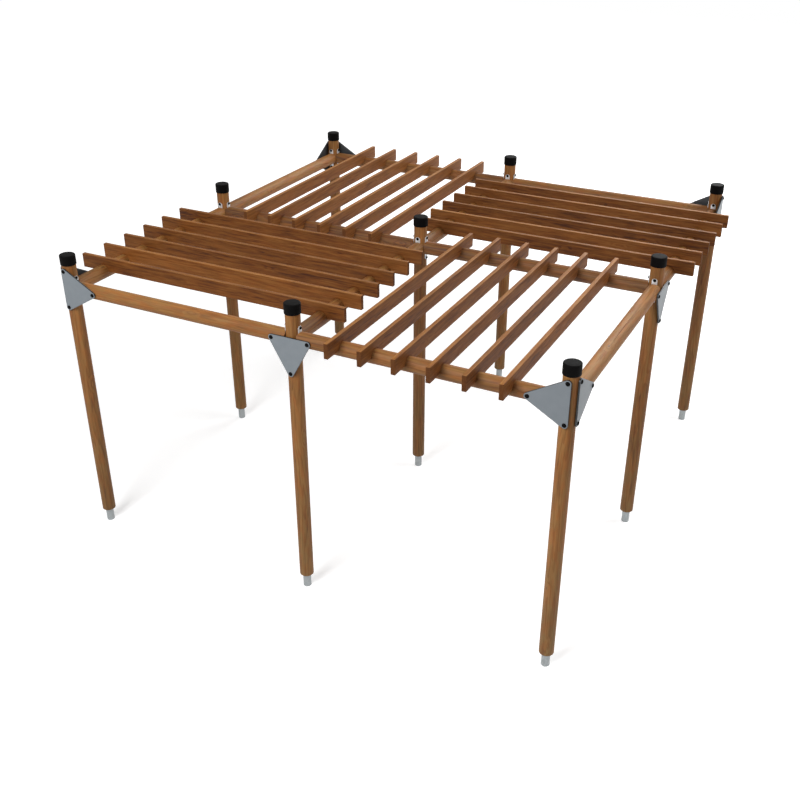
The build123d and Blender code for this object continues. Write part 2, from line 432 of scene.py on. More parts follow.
def wood(name, stain, ruddy, ring_width, streaks, depth, gloss, painted_top_sheen):
    """Stained pine. stain is its light, middle and dark colour, ruddy the tint of its redder patches, and
    ring_width the growth of a year. streaks is how much the stain varies along the fibres, depth how far it
    goes to the dark side, gloss the strength of its shine, and bleached how strongly what faces up is
    painted paler, a painted sheen of light from above."""
    shader = Shader(name)
    end, tone = shader.mark("end"), shader.mark("tone")
    grain, bent = tree_place(shader)
    knot, swirl = knots(shader, grain)
    ring = rings(shader, bent, swirl, ring_width)

    # Noise that changes fast across the grain and slowly along it.
    fibre = shader.noise(bent, FIBRES, detail=3.0, roughness=0.6)
    streak = shader.noise(bent, STREAKS, detail=3.0, roughness=0.6)
    blotch = shader.noise(grain, BLOTCHES, detail=2.0)
    patch = shader.noise(grain, PATCHES, detail=2.0, roughness=0.6)

    level = ring * RING_PULL + (streak - 0.5) * streaks
    level = level + (fibre - 0.5) * FIBRE_PULL + (blotch - 0.5) * BLOTCH_PULL
    level = (level + tone).math("ADD", depth, clamp=True)
    light, middle, dark = stain
    shade = shader.mix(shader.between(level, *MIDDLE_EDGE), light, middle)
    shade = shader.mix(shader.between(level, *DARK_EDGE), shade, dark)
    shade = shader.mix(shader.between(patch, *PATCH_EDGE), shade, ruddy, "MULTIPLY")
    shade = shader.mix(knot * 0.6, shade, KNOT_BROWN)
    # The tone scales the whole piece darker or lighter: partly its own stain, partly painted shade and light
    # for where it stands.
    shade = shader.node("VectorMath", {"operation": "SCALE"}, {0: shade, "Scale": 1 - tone * 0.8})
    shade = painted_sheen_and_floor_light(shader, shade, painted_top_sheen)
    shade = shader.mix(end * (0.55 + ring * 0.25), shade, END_BROWN)

    roughness = 0.54 + fibre * 0.14 + end * 0.20 - knot * 0.08
    height = ring * 0.35 + fibre * 0.5 + streak * 0.25 + knot * 0.3
    sockets = {"Base Color": shade, "Roughness": roughness, "Specular IOR Level": gloss}
    return shader.finish(sockets, height, 0.0006)


# The last number of each wood sets how strong its painted sheen on upward faces is: weak on the logs, full
# on the planks.
LOG_STAIN = colour(149, 105, 54), colour(128, 84, 36), colour(86, 49, 20)
LOG_RUDDY = (1.12, 0.93, 0.80, 1.0)
LOG_WOOD = wood("stained_log", LOG_STAIN, LOG_RUDDY, ring_width=0.0042, streaks=1.05, depth=0.28,
                gloss=0.40, painted_top_sheen=0.2)
PLANK_STAIN = colour(130, 82, 37), colour(111, 65, 24), colour(69, 34, 12)
PLANK_RUDDY = (1.04, 0.97, 0.90, 1.0)
PLANK_WOOD = wood("stained_plank", PLANK_STAIN, PLANK_RUDDY, ring_width=0.0035, streaks=1.75, depth=0.32,
                  gloss=0.20, painted_top_sheen=1.0)

# %% [markdown]
# ## Steel, panel and plastic
# The feet and the saddles are hot-dip galvanised steel: matt silver with a faint patchwork of zinc crystals.
# The corner plates are cut from a board with a blue-grey face, a near-black core and a dark grey back. Caps
# and bolt covers are moulded in black plastic with a fine grain from the mould.

# %% Steel, panel and plastic
def galvanised(name, bright, dull):
    """Zinc crystals are Voronoi cells whose brightness differs a little, under a soft cloud of dulling."""
    shader = Shader(name)
    crystal = shader.node("TexVoronoi", None, {"Vector": shader.place(), "Scale": 95.0}, "Color")
    tone = shader.part_along(crystal, (0.333, 0.333, 0.333))
    cloud = shader.noise(shader.place(), 14.0, detail=3.0)
    shade = shader.mix(tone * 0.5 + cloud * 0.4, bright, dull)
    roughness = 0.34 + tone * 0.14 + cloud * 0.10
    sockets = {"Base Color": shade, "Roughness": roughness, "Metallic": 0.55}
    return shader.finish(sockets, tone * 0.2 + cloud * 0.6, 0.0003)


def panel(name, light, dark):
    """The pressed face of a board: an even colour with a fine speckle and a slow cloud."""
    shader = Shader(name)
    speckle = shader.noise(shader.place(), 900.0, detail=2.0)
    cloud = shader.noise(shader.place(), 11.0, detail=3.0)
    shade = shader.mix((speckle - 0.5) * 0.7 + cloud, light, dark)
    roughness = 0.44 + (cloud - 0.5) * 0.12
    return shader.finish({"Base Color": shade, "Roughness": roughness}, speckle, 0.00012)


def moulded(name, light, dark):
    """Black plastic: fine pits from the mould, and roughness that scuffs a little."""
    shader = Shader(name)
    pits = shader.noise(shader.place(), 1400.0, detail=1.0)
    scuff = shader.noise(shader.place(), 30.0, detail=4.0, roughness=0.65)
    shade = shader.mix(scuff, dark, light)
    roughness = 0.56 + scuff * 0.20
    sockets = {"Base Color": shade, "Roughness": roughness, "Specular IOR Level": 0.06}
    return shader.finish(sockets, pits, 0.00008)


# The same zinc twice: the saddles' copy is set paler and the feet's darker, which paints light on the
# saddles and shade on the feet.
PLATE_ZINC = galvanised("zinc_plate", colour(230, 233, 236), colour(200, 205, 209))
TUBE_ZINC = galvanised("zinc_tube", colour(178, 183, 184), colour(140, 146, 148))
PANEL_FACE = panel("panel_grey_face", colour(131, 138, 144), colour(119, 126, 132))
PANEL_CORE = panel("panel_dark_core", colour(13, 15, 18), colour(8, 9, 11))
PANEL_BACK = panel("panel_dark_back", colour(58, 63, 67), colour(50, 54, 57))
PLASTIC = moulded("black_moulding", colour(8, 7, 7), colour(3, 2, 2))

# %% [markdown]
# ## Logs
# A post or beam is a log turned to one thickness. As it dries it splits along the grain: narrow open checks
# that start and end in nothing. Every column of the mesh is laid three times, and the three part only where
# there is a check: two are its lips and the middle one drops to its bottom. Elsewhere they coincide and are
# welded. The grain twists a little along the log, and the checks follow it.

# %% The skin of a log
LOG_STEPS = 48
ROW_GAP = 0.045
SLOT_HALF_WIDTH = 0.0033
TWIST = 0.10
TWIST_WAVE = 2.2 * np.pi
CHECK_HALF_WIDTH = 0.0014
CHECK_DEPTH = 0.011
CHECK_SPACING = 5
SOUND_END = 0.03
TRUNK = 60
PITH_SPREAD = 0.008
random = np.random.default_rng(11)

# The angles of a log's columns are even steps, and the borders of the slot in a beam's end.
slot_edge = math.asin(SLOT_HALF_WIDTH / BEAM_RADIUS)
borders = np.array([np.pi / 2 - slot_edge, np.pi / 2 + slot_edge])
steps = np.linspace(0, 2 * np.pi, LOG_STEPS, endpoint=False)
RING = np.sort(np.concatenate([steps, borders, 2 * np.pi - borders]))


def log_skin(stations, radii, end, splits, random):
    """A point is (station, radius * cos(angle), radius * sin(angle)). Stations are rows by columns or one
    number a row. The radius falls to the bottom of a check in the middle of its three columns, and the
    angle of all of them drifts slowly with the station."""
    stations = np.broadcast_to(stations, (len(radii), len(RING)))
    middle = stations.mean(axis=1)
    length = middle.max() - middle.min()
    share = (middle - middle.min()) / length
    drift = TWIST * np.sin(np.pi * share) * np.sin(TWIST_WAVE * share + random.uniform(0, 6))
    opening = np.zeros(stations.shape)
    depth = np.zeros(stations.shape)
    columns = random.choice(np.arange(2, len(RING) - 2, CHECK_SPACING), splits, replace=False)
    for column in columns:
        half_length = random.uniform(0.10, 0.32) * length
        centre = middle.min() + random.uniform(0.2, 0.8) * length
        swell = np.sqrt(np.clip(1 - ((middle - centre) / half_length) ** 2, 0, None))
        swell = swell * (np.minimum(share, 1 - share) > SOUND_END) * (radii > radii.max() - WELD)
        opening[:, column] = swell * CHECK_HALF_WIDTH / POST_RADIUS * random.uniform(0.6, 1.2)
        depth[:, column] = swell * CHECK_DEPTH * random.uniform(0.6, 1.1)
    lips = np.array([-1.0, 0.0, 1.0])
    straight = RING[None, :, None] + opening[:, :, None] * lips
    radius = radii[:, None, None] - depth[:, :, None] * (lips == 0)
    skins = []
    for turn in (straight + drift[:, None, None], straight):
        sides = [(radius * wave(turn)).reshape(len(radii), -1) for wave in (np.cos, np.sin)]
        skins.append(np.stack([np.repeat(stations, len(lips), axis=1), *sides], axis=-1))
    return sheet(skins[0], around=True, grain=skins[1], end=np.asarray(end, float)[:, None])


def tree(tone, random):
    """A log's place in its tree, a little off the pith. Of three steps aside, the first two count."""
    start = random.uniform(0, TRUNK)
    aside = random.normal(0, PITH_SPREAD, 3)
    return {"grain": np.array([start, *aside[:2]]), "tone": tone}


print(len(RING), "columns round a log, each laid three times")

# %% [markdown]
# ## Posts
# Nine posts stand on their feet. Each is eased at both ends, and bored from below for the steel tube. It is
# one profile, from the middle of the socket to the middle of the head.

# %% Posts
POST_EDGE = 0.003
SOCKET_RADIUS = FOOT_RADIUS + SEAT
SOCKET_DEPTH = FOOT_TOP - POST_FOOT
CHECKS_PER_POST = 3
# How dark each post comes out, row by row from the front: above zero is darker. It is partly the stain
# each post took and partly painted shade and light for where it stands.
POST_STAIN_AND_SHADE = (0.02, -0.07, -0.13, -0.04, 0.04, -0.03, 0.00, -0.01, 0.02)


def post_parts(x, y, tone):
    """Bottom of the socket, its wall, the eased foot, the length, the eased head and its middle."""
    length = POST_TOP - POST_FOOT
    socket = [(SOCKET_DEPTH, 0.0), (SOCKET_DEPTH, SOCKET_RADIUS), (0.0, SOCKET_RADIUS)]
    foot = [(height, POST_RADIUS - inset) for height, inset in eased(POST_EDGE, [0, 30, 60])]
    body = np.linspace(POST_EDGE, length - POST_EDGE, round(length / ROW_GAP))
    head = [(length - height, radius) for height, radius in foot[::-1]] + [(length, 0.0)]
    profile = np.array(socket + foot + [(height, POST_RADIUS) for height in body] + head)
    end = np.ones(len(profile))
    end[len(socket + foot):-len(head)] = 0.0
    skin = log_skin(profile[:, :1], profile[:, 1], end, CHECKS_PER_POST, random)
    return [placed(skin, (x, y, POST_FOOT), UP, EAST, **tree(tone, random))]


for ((row, column), (x, y)), tone in zip(POST_PLACES.items(), POST_STAIN_AND_SHADE):
    node = f"post_{row}_{column}"
    make_piece(f"{node}_timber", post_parts(x, y, tone), [LOG_WOOD], [node])

# %% [markdown]
# ## Beams
# Twelve beams run from post to post. Each end is cut hollow to sit against the round saddle on the post,
# and mitred where two beams meet. Across the beam, the cut lies at the larger of two distances from the
# post's axis: the hollow, sqrt(R^2 - y^2), and the mitre, |y| plus a gap. A slot takes the saddle's blade.
# The end face is a sheet of upright lines. The lines and heights at the slot's border are laid twice, so
# that one copy stays at the face while the other goes to the bottom of the slot.

# %% Beams
CHECKS_PER_BEAM = 2
END_GAP = 0.0046
MITRE_GAP = 0.00212
END_RIM = 0.0005
SLOT_HALF_HEIGHT = 0.043
SLOT_DEPTH = 0.101
# The beams' tones: the rows from the front, then the columns from the left. They are partly the stain each
# took and partly painted shade and light: the middle row is darkened as painted shade under the planks, and
# the right column's front beam is lightened as painted light.
BEAM_STAIN_AND_SHADE = (-0.07, 0.04, 0.22, 0.22, 0.14, 0.03, -0.02, -0.09, 0.09, 0.03, -0.14, 0.14)


def cut_distance(y):
    """How far from the post's axis the beam starts, at distance y from the beam's middle plane."""
    hollow = np.sqrt((POST_RADIUS + END_GAP) ** 2 - y ** 2)
    return np.maximum(hollow, np.abs(y) + MITRE_GAP)


def beam_end():
    """The end face, (distance, y, z): upright lines at y, with heights as shares of their half length."""
    angle = RING[RING <= np.pi + WELD]
    y, half = BEAM_RADIUS * np.cos(angle), BEAM_RADIUS * np.sin(angle)
    inside = np.abs(y) < SLOT_HALF_WIDTH + WELD
    first, last = np.flatnonzero(inside)[[0, -1]]
    line = np.sort(np.concatenate([np.arange(len(y)), [first, last]]))
    deep_line = inside[line]
    deep_line[[first, last + 2]] = False
    edge = SLOT_HALF_HEIGHT / (BEAM_RADIUS * math.cos(SLOT_HALF_WIDTH / BEAM_RADIUS))
    share = np.array([-1, -edge, -edge, 0, edge, edge, 1])
    deep_share = np.array([0, 0, 1, 1, 1, 0, 0], bool)
    deep = deep_line[:, None] & deep_share
    distance = cut_distance(y[line])[:, None] + SLOT_DEPTH * deep
    height = half[line][:, None] * share
    across = np.broadcast_to(y[line][:, None], distance.shape)
    return np.stack([distance, across, height], axis=-1)


def beam_parts(origin, axis, side, tone):
    """The length of the log between its two cut ends, and the two end faces, the far one mirrored."""
    start = cut_distance(BEAM_RADIUS * np.cos(RING))
    share = np.linspace(0, 1, round(BAY / ROW_GAP))
    share = np.concatenate([[0, END_RIM], share[1:-1], [1 - END_RIM, 1]])
    stations = start + share[:, None] * (BAY - 2 * start)
    end = (share == 0) | (share == 1)
    skin = log_skin(stations, np.full(len(share), BEAM_RADIUS), end, CHECKS_PER_BEAM, random)
    near = beam_end()
    far = near * (-1, 1, 1) + (BAY, 0, 0)
    faces = [sheet(points, grain=points, end=np.ones((1, 1))) for points in (near[::-1], far)]
    place = tree(tone, random)
    return [placed(part, origin, axis, side, **place) for part in [skin] + faces]


def beam_layout():
    """Every beam as its node, where it starts, the way it runs and the way to its side."""
    for row, y in zip(ROWS, LINES):
        for half, x in zip(("left", "right"), LINES):
            yield f"beam_{row}_row_{half}", (x, y, BEAM_AXIS), EAST, NORTH
    for column, x in zip(COLUMNS, LINES):
        for half, y in zip(("front", "back"), LINES):
            yield f"beam_{column}_column_{half}", (x, y, BEAM_AXIS), NORTH, WEST


for (node, *line), tone in zip(beam_layout(), BEAM_STAIN_AND_SHADE):
    make_piece(f"{node}_timber", beam_parts(*line, tone), [LOG_WOOD], [node])

# %% [markdown]
# ## Planks
# Six planks on edge shade each bay, and their direction turns by a quarter from bay to bay. A plank is one
# rounded rectangle carried along its length. Over each beam its lower edge rises in a half-round notch: the
# underside is at the larger of the plank's own bottom and the circle sqrt(r^2 - (x - x0)^2) round the beam.

# %% Planks
PLANKS = 6
PLANK_THICKNESS = 0.036
PLANK_EDGE = 0.004
PLANK_END_EDGE = 0.002
PLANK_HEIGHT = PLANK_TOP - PLANK_BOTTOM
PLANK_SPACING = (plank_high[1] - plank_low[1] - PLANK_THICKNESS) / (PLANKS - 1)
PLANK_FIRST = plank_low[1] + BAY + PLANK_THICKNESS / 2
NOTCH_RADIUS = BEAM_RADIUS + SEAT
NOTCH_STEPS = 25
PLAIN_START = 0.1
PLAIN_STEPS = 12


def plank_section(inset):
    """A rounded rectangle, (across, up), anticlockwise, that lies inside the full one by an inset."""
    side = PLANK_THICKNESS / 2 - PLANK_EDGE
    high = PLANK_HEIGHT - PLANK_EDGE
    centres = [(side, PLANK_EDGE), (side, high), (-side, high), (-side, PLANK_EDGE)]
    quarter = np.linspace(0, np.pi / 2, 4)
    starts = np.array([-1, 0, 1, 2]) * np.pi / 2
    arcs = [arc(centre, PLANK_EDGE - inset, start + quarter) for centre, start in zip(centres, starts)]
    climb = np.linspace(0, 1, 6)[1:-1, None]
    right = arcs[0][-1] + climb * (arcs[1][0] - arcs[0][-1])
    left = arcs[2][-1] + climb * (arcs[3][0] - arcs[2][-1])
    return np.concatenate([arcs[0], right, arcs[1], arcs[2], left, arcs[3]])


def plank_rows():
    """(station, inset, lift) from one end to the other. The inset rounds the ends, and the lift raises the
    lower edge in the notches: r * sin(angle) less the height of the plank's bottom over the beam's axis."""
    near_end = [(station, inset, 0.0) for station, inset in eased(PLANK_END_EDGE, [0, 30, 60, 90])]
    far_end = [(PLANK_LENGTH - station, inset, 0.0) for station, inset, _ in near_end[::-1]]
    rise = PLANK_BOTTOM - BEAM_AXIS
    start = math.asin(rise / NOTCH_RADIUS)
    notches = []
    for centre in (PLANK_OVERHANG, PLANK_OVERHANG + BAY):
        arch = arc((centre, -rise), NOTCH_RADIUS, np.linspace(np.pi - start, start, NOTCH_STEPS))
        notches.append([(station, 0.0, lift) for station, lift in arch])
    first, last = PLANK_OVERHANG + PLAIN_START, PLANK_OVERHANG + BAY - PLAIN_START
    plain = [(station, 0.0, 0.0) for station in np.linspace(first, last, PLAIN_STEPS)]
    return np.array(near_end + notches[0] + plain + notches[1] + far_end)


def plank_skin():
    """The section at each row, with the lift given in full to its lower edge and not at all to its upper."""
    rows = plank_rows()
    sections = np.stack([plank_section(inset) for inset in rows[:, 1]])
    high = PLANK_HEIGHT - PLANK_EDGE
    weight = np.clip((high - sections[..., 1]) / (PLANK_HEIGHT - 2 * PLANK_EDGE), 0, 1)
    up = sections[..., 1] + weight * rows[:, 2:]
    points = capped(np.stack([np.broadcast_to(rows[:, :1], up.shape), sections[..., 0], up], axis=-1))
    end = np.zeros((len(points), 1))
    end[[0, 1, -2, -1]] = 1.0
    return sheet(points, around=True, grain=points, end=end)


def plank_tree(tone, random):
    """A plank is sawn beside the pith, so its rings cross it as shallow arcs."""
    start = random.uniform(0, TRUNK)
    aside = random.choice([-1, 1]) * random.uniform(0.03, 0.09)
    under = random.uniform(-0.09, -0.03)
    return {"grain": np.array([start, aside, under]), "tone": tone + random.normal(0, 0.05)}


# Whether each bay's planks run along X, and their tone.
BAYS = {"front_left": (True, 0.03), "front_right": (False, 0.0), "back_left": (False, -0.12),
        "back_right": (True, 0.03)}
PLANK = plank_skin()
for bay, (along_x, tone) in BAYS.items():
    x = -BAY if bay.endswith("left") else 0.0
    y = -BAY if bay.startswith("front") else 0.0
    parts = []
    for number in range(PLANKS):
        step = PLANK_FIRST + number * PLANK_SPACING
        if along_x:
            origin, axis, side = (x - PLANK_OVERHANG, y + step, PLANK_BOTTOM), EAST, NORTH
        else:
            origin, axis, side = (x + step, y - PLANK_OVERHANG, PLANK_BOTTOM), NORTH, WEST
        parts.append(placed(PLANK, origin, axis, side, **plank_tree(tone, random)))
    make_piece(f"planks_{bay}", parts, [PLANK_WOOD], [f"rafters_{bay}"])

# %% [markdown]
# ## Corner plates
# A plate is a triangle with round corners and a hole in each. Its outline is the hull of three equal
# circles: at each corner an arc, from the outward direction of one side to that of the next. Lines equally
# far from two holes split the face into three cells, so each cell is a simple ring from its hole to its
# border, and the rings meet point for point. Plates at the corners stand outside each beam, and those at
# the halfway posts point down.

# %% Plates
BOLT_SPAN = 0.32
BOLT_REACH = 0.28
PLATE_CORNER = 0.026
PLATE_HOLE = 0.0065
PLATE_EDGE = 0.0012
PLATE_THICKNESS = PLATE_FACE - PLATE_BACK
ARC_STEPS = 13
BORDER_STEPS = 5
FACE, CORE, BACK = range(3)
HOLES = np.array([(0.0, -BOLT_SPAN / 2), (BOLT_REACH, 0.0), (0.0, BOLT_SPAN / 2)])
HUB = np.array([(BOLT_REACH ** 2 - (BOLT_SPAN / 2) ** 2) / (2 * BOLT_REACH), 0.0])


def corner_arcs(radius):
    """For each hole, the outline's arc round it, from the outward direction of one side to the next's."""
    side = np.roll(HOLES, -1, axis=0) - HOLES
    outward = np.arctan2(-side[:, 0], side[:, 1])
    arcs = []
    for number, hole in enumerate(HOLES):
        turn = (outward[number] - outward[number - 1]) % (2 * np.pi)
        angle = outward[number - 1] + turn * np.linspace(0, 1, ARC_STEPS)
        arcs.append(arc(hole, radius, angle))
    return arcs


def outline(radius):
    """The whole outline, anticlockwise: each arc, then the middle of the side that follows it."""
    arcs = corner_arcs(radius)
    middles = [(arcs[number][-1] + arcs[(number + 1) % 3][0]) / 2 for number in range(3)]
    whole = np.concatenate([np.vstack([bend, middle]) for bend, middle in zip(arcs, middles)])
    return whole, arcs, middles


def plate_cells():
    """For each hole its edge, and the border of the part of the face that is nearest to it."""
    _, arcs, middles = outline(PLATE_CORNER - PLATE_EDGE)
    share = np.linspace(0, 1, BORDER_STEPS)[:, None]
    for number, hole in enumerate(HOLES):
        inwards = middles[number] + share * (HUB - middles[number])
        outwards = HUB + share * (middles[number - 1] - HUB)
        border = np.concatenate([arcs[number], inwards, outwards[1:]])
        away = border - hole
        yield hole + PLATE_HOLE * away / np.linalg.norm(away, axis=1, keepdims=True), border


def at_depth(points, depth):
    """Flat points given a depth as their first number."""
    return np.insert(points, 0, depth, axis=-1)


def plate_parts():
    """Both faces cell by cell, the walls of the holes, and the rim with its eased edges."""
    parts = []
    for rim, border in plate_cells():
        front = at_depth(np.stack([border, rim]), PLATE_THICKNESS)
        back = at_depth(np.stack([rim, border]), 0.0)
        wall = np.stack([at_depth(rim, PLATE_THICKNESS), at_depth(rim, 0.0)])
        for points, slot in ((front, FACE), (back, BACK), (wall, CORE)):
            parts.append(sheet(points, around=True, slot=slot))
    low = [(depth, PLATE_CORNER - inset) for depth, inset in eased(PLATE_EDGE, [0, 30, 60, 90])]
    high = [(PLATE_THICKNESS - depth, radius) for depth, radius in low[::-1]]
    rim = np.stack([at_depth(outline(radius)[0], depth) for depth, radius in low + high])
    return parts + [sheet(rim, around=True, slot=CORE)]


def plate_layout():
    """Every plate as its node, its post, the way it faces and the way its tip points."""
    for (row, column), (x, y) in POST_PLACES.items():
        east, north = round(x / BAY), round(y / BAY)
        if east and north:
            yield f"gussets_{row}_{column}", (x, y), (0, north, 0), (-east, 0, 0)
            yield f"gussets_{row}_{column}", (x, y), (east, 0, 0), (0, -north, 0)
        elif east or north:
            yield f"gusset_{row}_{column}", (x, y), (east, north, 0), (0, 0, -1)


PLATES = list(plate_layout())
PLATE = plate_parts()
for node in sorted({plate[0] for plate in PLATES}):
    parts = []
    for name, post, outward, tip in PLATES:
        if name == node:
            origin = np.array([*post, BEAM_AXIS]) + np.array(outward) * PLATE_BACK
            parts += [placed(part, origin, outward, tip) for part in PLATE]
    make_piece(f"{node}_board", parts, [PANEL_FACE, PANEL_CORE, PANEL_BACK], [node])

# %% [markdown]
# ## Caps and feet
# A cap is a moulded cup pushed over the head of the post, and a foot is a length of tube with a closed
# bottom. Both are profiles carried round an axis, made once and laid at all nine posts.

# %% Caps and feet
CAP_EDGE = 0.009
CAP_LIP = 0.0015
FOOT_WALL = 0.004
FOOT_BASE = 0.006
FOOT_EDGE = 0.0015
FOOT_BEVEL = 0.001
ROUND_STEPS = 64


def cap_profile():
    """From the middle of the cup's inside, down its wall, round the rim, up and over the edge."""
    inner = POST_RADIUS + SEAT
    inside_top = POST_TOP + SEAT - CAP_RIM
    outside_top = CAP_TOP - CAP_RIM
    profile = [(inside_top, 0.0), (inside_top, inner), (CAP_LIP, inner), (0.0, inner + CAP_LIP)]
    profile += corner_arc((CAP_LIP, CAP_RADIUS - CAP_LIP), CAP_LIP, -90, 0, 4)
    profile += corner_arc((outside_top - CAP_EDGE, CAP_RADIUS - CAP_EDGE), CAP_EDGE, 0, 90, 9)
    return profile + [(outside_top, 0.0)]


def foot_profile():
    """The flat bottom, the tube's outside with eased edges, its inside and the top of the base."""
    inner = FOOT_RADIUS - FOOT_WALL
    bottom = corner_arc((FOOT_EDGE, FOOT_RADIUS - FOOT_EDGE), FOOT_EDGE, -90, 0, 4)
    top = [(FOOT_TOP - FOOT_BEVEL, FOOT_RADIUS), (FOOT_TOP, FOOT_RADIUS - FOOT_BEVEL), (FOOT_TOP, inner)]
    return [(0.0, 0.0)] + bottom + top + [(FOOT_BASE, inner), (FOOT_BASE, 0.0)]


def at_posts(profile, height):
    """A turned shape laid at all nine posts, with its start at a height."""
    shape = turned(profile, ROUND_STEPS)
    return [placed(shape, (x, y, height), UP, EAST) for x, y in POST_PLACES.values()]


make_piece("post_caps_moulded", at_posts(cap_profile(), CAP_RIM), [PLASTIC], ["post_caps"])
make_piece("post_feet_tubes", at_posts(foot_profile(), 0.0), [TUBE_ZINC], ["post_feet"])

# %% [markdown]
# ## Bolt covers
# Every bolt ends in a black cover: a low drum with a rounded top on a thin washer. Three hold each plate,
# and two hold each saddle to its post, one over and one under the beam.

# %% Bolt covers
PLATE_COVER = 0.015
SADDLE_COVER = 0.0125
SADDLE_BOLT_HEIGHT = 0.094
SADDLE_THICKNESS = 0.004
SADDLE_FACE = POST_RADIUS + SEAT + SADDLE_THICKNESS
WASHER = 0.002
COVER_FILLET = 0.0006
COVER_STEPS = 28


def cover_profile(radius):
    """Washer, drum and rounded top, from under the washer. Its other sizes are shares of the radius."""
    height, rounding = radius * 0.56, radius * 0.35
    washer = [(0.0, radius * 1.12), (WASHER * 0.7, radius * 1.12), (WASHER, radius * 1.08)]
    drum = [(WASHER, radius * 0.96), (WASHER + COVER_FILLET, radius * 0.94)]
    drum += corner_arc((height - rounding, radius * 0.97 - rounding), rounding, 0, 80, 5)
    return [(0.0, 0.0)] + washer + drum + [(height + COVER_FILLET, 0.0)]


def saddle_ways(x, y):
    """The directions in which beams leave the post at x, y."""
    for way in (EAST, WEST, NORTH, (0, -1, 0)):
        if max(abs(x + way[0] * BAY), abs(y + way[1] * BAY)) < BAY + WELD:
            yield np.array(way, float)


def make_covers(name, radius, places):
    """A cover at each place, (origin, the way it faces, a way along its foot)."""
    cover = turned(cover_profile(radius), COVER_STEPS)
    make_piece(name, [placed(cover, *place) for place in places], [PLASTIC])
    print(len(places), "covers")


places = []
for _, post, outward, tip in PLATES:
    outward, tip = np.array(outward, float), np.array(tip, float)
    middle = np.array([*post, BEAM_AXIS]) + outward * PLATE_FACE
    for reach, span in HOLES:
        places.append((middle + tip * reach + np.cross(outward, tip) * span, outward, tip))
make_covers("plate_bolt_covers", PLATE_COVER, places)

places = []
for x, y in POST_PLACES.values():
    for way in saddle_ways(x, y):
        for height in (-SADDLE_BOLT_HEIGHT, SADDLE_BOLT_HEIGHT):
            origin = np.array([x, y, BEAM_AXIS + height]) + way * SADDLE_FACE
            places.append((origin, way, np.cross(UP, way)))
make_covers("saddle_bolt_covers", SADDLE_COVER, places)

# %% [markdown]
# ## Saddles
# A saddle is a curved steel plate between a post and the end of a beam, with cut corners and an upright
# blade that carries the beam. Its two ears show over and under the beam. Seen from the side, the plate's
# section runs up the outer face and down the inner one, and it is carried across the plate.

# %% Saddles
SADDLE_WIDTH = 0.046
SADDLE_HEIGHT = 0.218
SADDLE_CORNER = 0.014
BLADE_START = 0.001
BLADE_THICKNESS = 0.006
BLADE_HEIGHT = 0.084


def closed_bar(stations, section):
    """A section, or one for each station, carried along the first number, with both ends closed."""
    section = np.broadcast_to(section, (len(stations),) + np.shape(section)[-2:])
    across = np.broadcast_to(np.reshape(stations, (-1, 1, 1)), section.shape[:2] + (1,))
    return sheet(capped(np.concatenate([across, section], axis=-1)), around=True)


def saddle_plate():
    """At distance y across, a point is (y, sqrt(R^2 - y^2), z), for the outer and the inner R, where z goes
    up to half the height less what the cut corner takes."""
    half = SADDLE_WIDTH / 2
    y = np.concatenate([[-half], np.linspace(SADDLE_CORNER - half, half - SADDLE_CORNER, 9), [half]])
    top = SADDLE_HEIGHT / 2 - np.clip(np.abs(y) - (half - SADDLE_CORNER), 0, None)
    inner = np.sqrt((POST_RADIUS + SEAT) ** 2 - y ** 2)
    outer = np.sqrt(SADDLE_FACE ** 2 - y ** 2)
    loop = [(outer, -top), (outer, 0 * top), (outer, top), (inner, top), (inner, 0 * top), (inner, -top)]
    return closed_bar(y, np.stack([np.stack(corner, axis=-1) for corner in loop], axis=1))


def saddle_blade():
    """A flat bar on edge, from inside the plate to as far as the frame's own blade reaches."""
    half, top = BLADE_THICKNESS / 2, BLADE_HEIGHT / 2
    section = np.array([(half, -top), (half, top), (-half, top), (-half, -top)])
    return closed_bar([POST_RADIUS + SEAT + BLADE_START, BLADE_REACH], section)


plate, blade = saddle_plate(), saddle_blade()
for (row, column), (x, y) in POST_PLACES.items():
    origin = (x, y, BEAM_AXIS)
    parts = []
    for way in saddle_ways(x, y):
        parts.append(placed(plate, origin, np.cross(way, UP), way))
        parts.append(placed(blade, origin, way, np.cross(UP, way)))
    node = f"brackets_{row}_{column}"
    make_piece(f"{node}_steel", parts, [PLATE_ZINC], [node])

# %% [markdown]
# ## Floor
# The pergola stands on a plain white floor in a studio. The walls are white only to the camera and to
# mirror rays, and light nothing. For those rays the floor glows too, more so far out, which joins it to the
# walls and keeps the soft shadow round each foot. Seen from under, the floor is clear.

# %% Floor
FLOOR_SIZE = 60.0
FLOOR_DROP = 0.0005
FLOOR_WHITE = (0.8, 0.8, 0.8, 1.0)
BLACK = (0, 0, 0, 1)
WHITE = (1, 1, 1, 1)
GLOW_NEAR, GLOW_FAR = 0.58, 1.0
LIT_NEAR, LIT_FAR = 3.0, 12.0


def background_rays(shader):
    """1 for rays that show a background, from the camera, off gloss and through glass, and 0 for light."""
    kinds = ("Is Camera Ray", "Is Glossy Ray", "Is Transmission Ray")
    camera_ray, glossy_ray, glass_ray = [shader.node("LightPath", None, None, kind) for kind in kinds]
    return camera_ray.math("MAXIMUM", glossy_ray).math("MAXIMUM", glass_ray)


